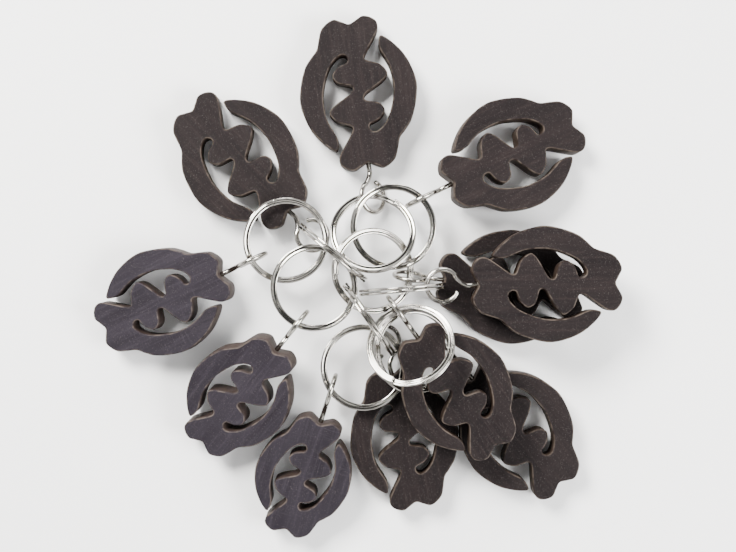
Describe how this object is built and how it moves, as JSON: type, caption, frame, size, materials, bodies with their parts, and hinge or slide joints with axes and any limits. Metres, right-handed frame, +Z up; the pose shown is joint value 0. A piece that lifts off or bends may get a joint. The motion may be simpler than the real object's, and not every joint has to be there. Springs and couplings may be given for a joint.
{
  "type": "keychain",
  "caption": "A linked bunch of sawn wooden pendants, each with a screw eye and a double-coil split ring.",
  "frame": {"origin": "under the middle of the bunch, on the plane it lies on", "axes": "+Z up out of the pendants' flat faces, +Y towards the pendant named top, +X towards the pendant named right"},
  "size_m": [0.1712, 0.1708, 0.0346],
  "materials": {
    "ebony": "dark, matte, sanded",
    "nickel_ring": "polished nickel plate",
    "nickel_eye": "polished nickel plate"
  },
  "bodies": {
    "ring_top": {"split_ring_top": "nickel_ring"},
    "pendant_top": {"pendant_top": "ebony", "screw_eye_top": "nickel_eye"},
    "ring_upper_left": {"split_ring_upper_left": "nickel_ring"},
    "pendant_upper_left": {"pendant_upper_left": "ebony", "screw_eye_upper_left": "nickel_eye"},
    "ring_upper_right": {"split_ring_upper_right": "nickel_ring"},
    "pendant_upper_right": {"pendant_upper_right": "ebony", "screw_eye_upper_right": "nickel_eye"},
    "ring_right": {"split_ring_right": "nickel_ring"},
    "pendant_right": {"pendant_right": "ebony", "screw_eye_right": "nickel_eye"},
    "ring_right_under": {"split_ring_right_under": "nickel_ring"},
    "pendant_right_under": {"pendant_right_under": "ebony", "screw_eye_right_under": "nickel_eye"},
    "ring_left": {"split_ring_left": "nickel_ring"},
    "pendant_left": {"pendant_left": "ebony", "screw_eye_left": "nickel_eye"},
    "ring_lower_left": {"split_ring_lower_left": "nickel_ring"},
    "pendant_lower_left": {"pendant_lower_left": "ebony", "screw_eye_lower_left": "nickel_eye"},
    "ring_lower_left_end": {"split_ring_lower_left_end": "nickel_ring"},
    "pendant_lower_left_end": {"pendant_lower_left_end": "ebony", "screw_eye_lower_left_end": "nickel_eye"},
    "ring_bottom": {"split_ring_bottom": "nickel_ring"},
    "pendant_bottom": {"pendant_bottom": "ebony", "screw_eye_bottom": "nickel_eye"},
    "ring_lower_right": {"split_ring_lower_right": "nickel_ring"},
    "pendant_lower_right": {"pendant_lower_right": "ebony", "screw_eye_lower_right": "nickel_eye"},
    "ring_lower_right_under": {"split_ring_lower_right_under": "nickel_ring"},
    "pendant_lower_right_under": {"pendant_lower_right_under": "ebony", "screw_eye_lower_right_under": "nickel_eye"}
  },
  "joints": [
    {"name": "right_pendant_swing", "type": "hinge", "parent": "ring_right", "child": "pendant_right", "pos_m": [0.02831, -0.00292, 0.01771], "axis": [0, 0, 1], "range_deg": [0, 6]},
    {"name": "right_under_ring_swing", "type": "hinge", "parent": "ring_right", "child": "ring_right_under", "pos_m": [0.00369, -0.00507, 0.01208], "axis": [0.432, 0.0378, -0.9011], "range_deg": [0, 1]},
    {"name": "right_under_pendant_swing", "type": "hinge", "parent": "ring_right_under", "child": "pendant_right_under", "pos_m": [0.0181, 0.00013, 0.00702], "axis": [-0.1221, -0.9913, 0.0495], "range_deg": [0, 1]},
    {"name": "upper_left_ring_swing", "type": "hinge", "parent": "ring_right_under", "child": "ring_upper_left", "pos_m": [-0.00554, 0.00651, 0.01522], "axis": [0.3369, 0.9334, -0.124], "range_deg": [0, 3]},
    {"name": "upper_left_pendant_swing", "type": "hinge", "parent": "ring_upper_left", "child": "pendant_upper_left", "pos_m": [-0.01405, 0.01365, 0.00553], "axis": [0.5417, -0.4545, -0.7071], "range_deg": [0, 4]},
    {"name": "upper_right_ring_swing", "type": "hinge", "parent": "ring_right_under", "child": "ring_upper_right", "pos_m": [0.00755, 0.01472, 0.0106], "axis": [0.936, -0.1345, -0.3254], "range_deg": [0, 3]},
    {"name": "upper_right_pendant_swing", "type": "hinge", "parent": "ring_upper_right", "child": "pendant_upper_right", "pos_m": [0.02171, 0.02539, 0.0106], "axis": [0.7071, -0.7071, 0], "range_deg": [0, 10]},
    {"name": "top_ring_swing", "type": "hinge", "parent": "ring_right_under", "child": "ring_top", "pos_m": [0.01071, 0.0138, 0.0095], "axis": [-0.8698, 0.3912, 0.3006], "range_deg": [0, 2]},
    {"name": "top_pendant_swing", "type": "hinge", "parent": "ring_top", "child": "pendant_top", "pos_m": [0.00593, 0.02635, 0.00443], "axis": [1, 0, 0], "range_deg": [0, 10]},
    {"name": "left_ring_swing", "type": "hinge", "parent": "ring_upper_left", "child": "ring_left", "pos_m": [-0.01634, 0.01557, 0.01019], "axis": [-0.267, 0.2241, 0.9373], "range_deg": [0, 2]},
    {"name": "left_pendant_swing", "type": "hinge", "parent": "ring_left", "child": "pendant_left", "pos_m": [-0.03361, 0.00531, 0.01189], "axis": [-0.4793, 0.8604, 0.173], "range_deg": [0, 10]},
    {"name": "bottom_ring_swing", "type": "hinge", "parent": "ring_right_under", "child": "ring_bottom", "pos_m": [0.00242, -0.01061, 0.01256], "axis": [-0.9049, 0.2879, 0.3135], "range_deg": [0, 1]},
    {"name": "bottom_pendant_swing", "type": "hinge", "parent": "ring_bottom", "child": "pendant_bottom", "pos_m": [0.00995, -0.02137, 0.0053], "axis": [-0.4056, 0.5792, -0.7071], "range_deg": [0, 0.8]},
    {"name": "lower_left_ring_swing", "type": "hinge", "parent": "ring_bottom", "child": "ring_lower_left", "pos_m": [-0.00251, -0.00357, 0.01794], "axis": [-0.1523, 0.2175, -0.9641], "range_deg": [0, 2]},
    {"name": "lower_left_pendant_swing", "type": "hinge", "parent": "ring_lower_left", "child": "pendant_lower_left", "pos_m": [-0.01846, -0.01529, 0.01794], "axis": [-0.9063, 0.4226, 0], "range_deg": [0, 10]},
    {"name": "lower_left_end_ring_swing", "type": "hinge", "parent": "ring_bottom", "child": "ring_lower_left_end", "pos_m": [0.01178, -0.02398, 0.01052], "axis": [-0.1753, 0.2504, -0.9521], "range_deg": [0, 0.8]},
    {"name": "lower_left_end_pendant_swing", "type": "hinge", "parent": "ring_lower_left_end", "child": "pendant_lower_left_end", "pos_m": [-0.00775, -0.03688, 0.01257], "axis": [-0.5736, 0.8191, 0], "range_deg": [0, 10]},
    {"name": "lower_right_ring_swing", "type": "hinge", "parent": "ring_bottom", "child": "ring_lower_right", "pos_m": [0.00915, -0.02022, 0.0249], "axis": [0.4593, -0.6559, -0.599], "range_deg": [0, 2]},
    {"name": "lower_right_pendant_swing", "type": "hinge", "parent": "ring_lower_right", "child": "pendant_lower_right", "pos_m": [0.01379, -0.01076, 0.02101], "axis": [-0.9397, -0.342, 0], "range_deg": [0, 4]},
    {"name": "lower_right_under_ring_swing", "type": "hinge", "parent": "ring_bottom", "child": "ring_lower_right_under", "pos_m": [0.01214, -0.02448, 0.01433], "axis": [0.007, -0.01, 0.9999], "range_deg": [0, 3]},
    {"name": "lower_right_under_pendant_swing", "type": "hinge", "parent": "ring_lower_right_under", "child": "pendant_lower_right_under", "pos_m": [0.03154, -0.02512, 0.00717], "axis": [-0.0571, -0.995, 0.0819], "range_deg": [0, 6]}
  ]
}
